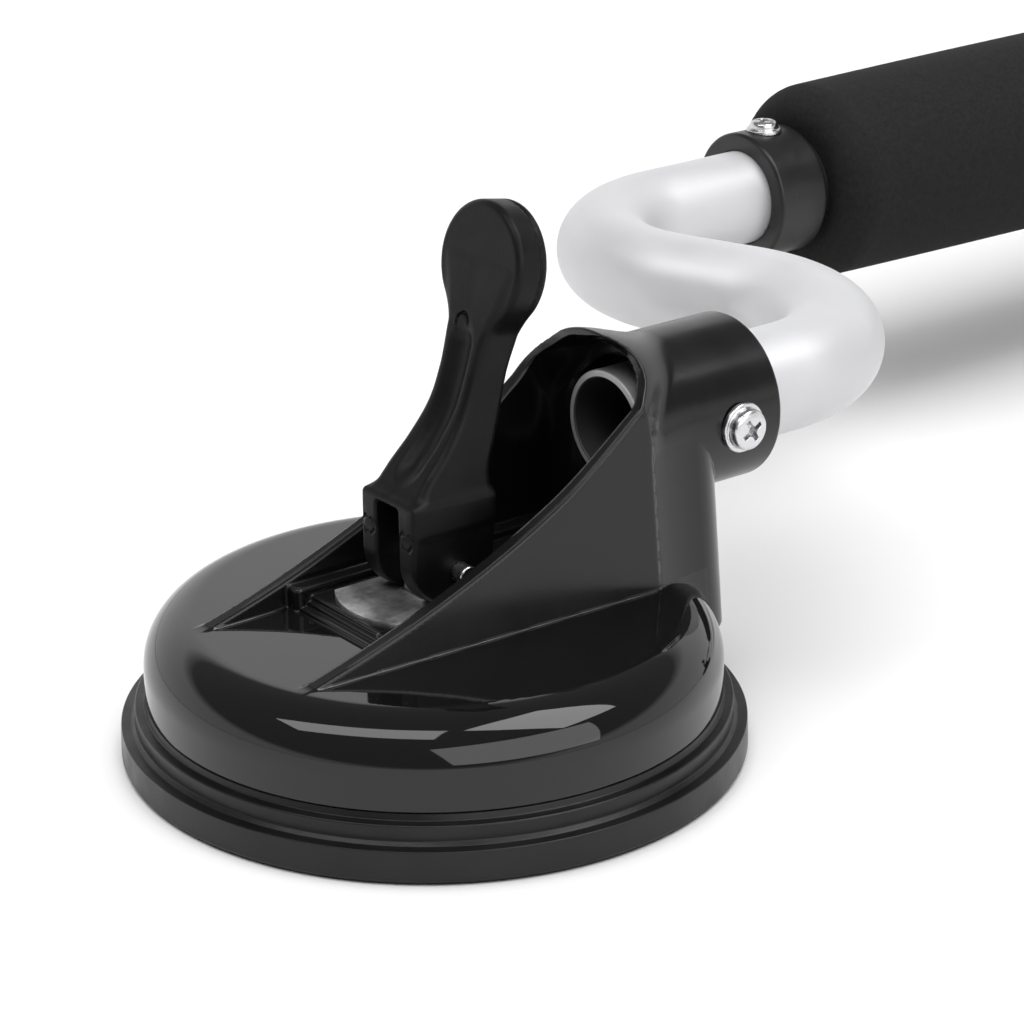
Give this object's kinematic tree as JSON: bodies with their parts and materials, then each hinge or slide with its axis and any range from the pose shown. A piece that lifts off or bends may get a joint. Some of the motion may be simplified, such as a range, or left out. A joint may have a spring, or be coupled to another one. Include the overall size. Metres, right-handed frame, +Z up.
{
  "type": "suction grab bar",
  "caption": "Bent aluminium tube with a thick foam grip, held at each end in a lever-operated round suction foot.",
  "frame": {"origin": "centre of the whole bar's footprint, on the surface the suction pads sit on", "axes": "+X along the grip from the left foot to the right foot, +Y from the feet towards the grip, +Z up away from the surface"},
  "size_m": [0.7626, 0.1867, 0.1046],
  "materials": {
    "gloss_black": "polished black moulded plastic",
    "matte_black": "fine-textured black moulded plastic",
    "collar_black": "satin black moulded plastic",
    "rubber": "satin black rubber",
    "foam": "matt black closed-cell foam",
    "liner": "plain black plastic tube",
    "aluminium": "satin silver anodised",
    "steel": "bright rolled steel",
    "screw": "bright plated"
  },
  "bodies": {
    "bar": {"left_suction_pad": "rubber", "left_pad_boss": "rubber", "left_return_spring": "steel", "left_housing": "gloss_black", "left_wear_plate": "steel", "left_socket_screw": "screw", "left_stop_collar": "collar_black", "left_collar_screw": "screw", "right_suction_pad": "rubber", "right_pad_boss": "rubber", "right_return_spring": "steel", "right_housing": "gloss_black", "right_wear_plate": "steel", "right_socket_screw": "screw", "right_stop_collar": "collar_black", "right_collar_screw": "screw", "bent_tube": "aluminium"},
    "foam_roller": {"foam_liner": "liner", "foam_sleeve": "foam"},
    "left_stud": {"left_insert_plate": "steel", "left_pull_stud": "steel"},
    "left_lever": {"left_lever": "matte_black", "left_lever_pin": "steel"},
    "right_stud": {"right_insert_plate": "steel", "right_pull_stud": "steel"},
    "right_lever": {"right_lever": "matte_black", "right_lever_pin": "steel"}
  },
  "joints": [
    {"name": "left_stud_slide", "type": "slide", "parent": "bar", "child": "left_stud", "axis": [0, 0, 1], "range_m": [0, 0.00467], "deforming": ["left_return_spring", "left_pad_boss"]},
    {"name": "left_lever_hinge", "type": "hinge", "parent": "left_stud", "child": "left_lever", "pos_m": [-0.3213, -0.03335, 0.0373], "axis": [0, -1, 0], "range_deg": [0, 90]},
    {"name": "right_stud_slide", "type": "slide", "parent": "bar", "child": "right_stud", "axis": [0, 0, 1], "range_m": [0, 0.00467], "deforming": ["right_return_spring", "right_pad_boss"]},
    {"name": "right_lever_hinge", "type": "hinge", "parent": "right_stud", "child": "right_lever", "pos_m": [0.3213, -0.03335, 0.0373], "axis": [0, 1, 0], "range_deg": [0, 90]},
    {"name": "foam_spin", "type": "hinge", "parent": "bar", "child": "foam_roller", "pos_m": [0, 0.06865, 0.0542], "axis": [1, 0, 0], "continuous": true}
  ],
  "couplings": [
    {"joint": "left_stud_slide", "follows": "left_lever_hinge", "m_per_rad": 0.0029603},
    {"joint": "right_stud_slide", "follows": "right_lever_hinge", "m_per_rad": 0.0029603}
  ]
}
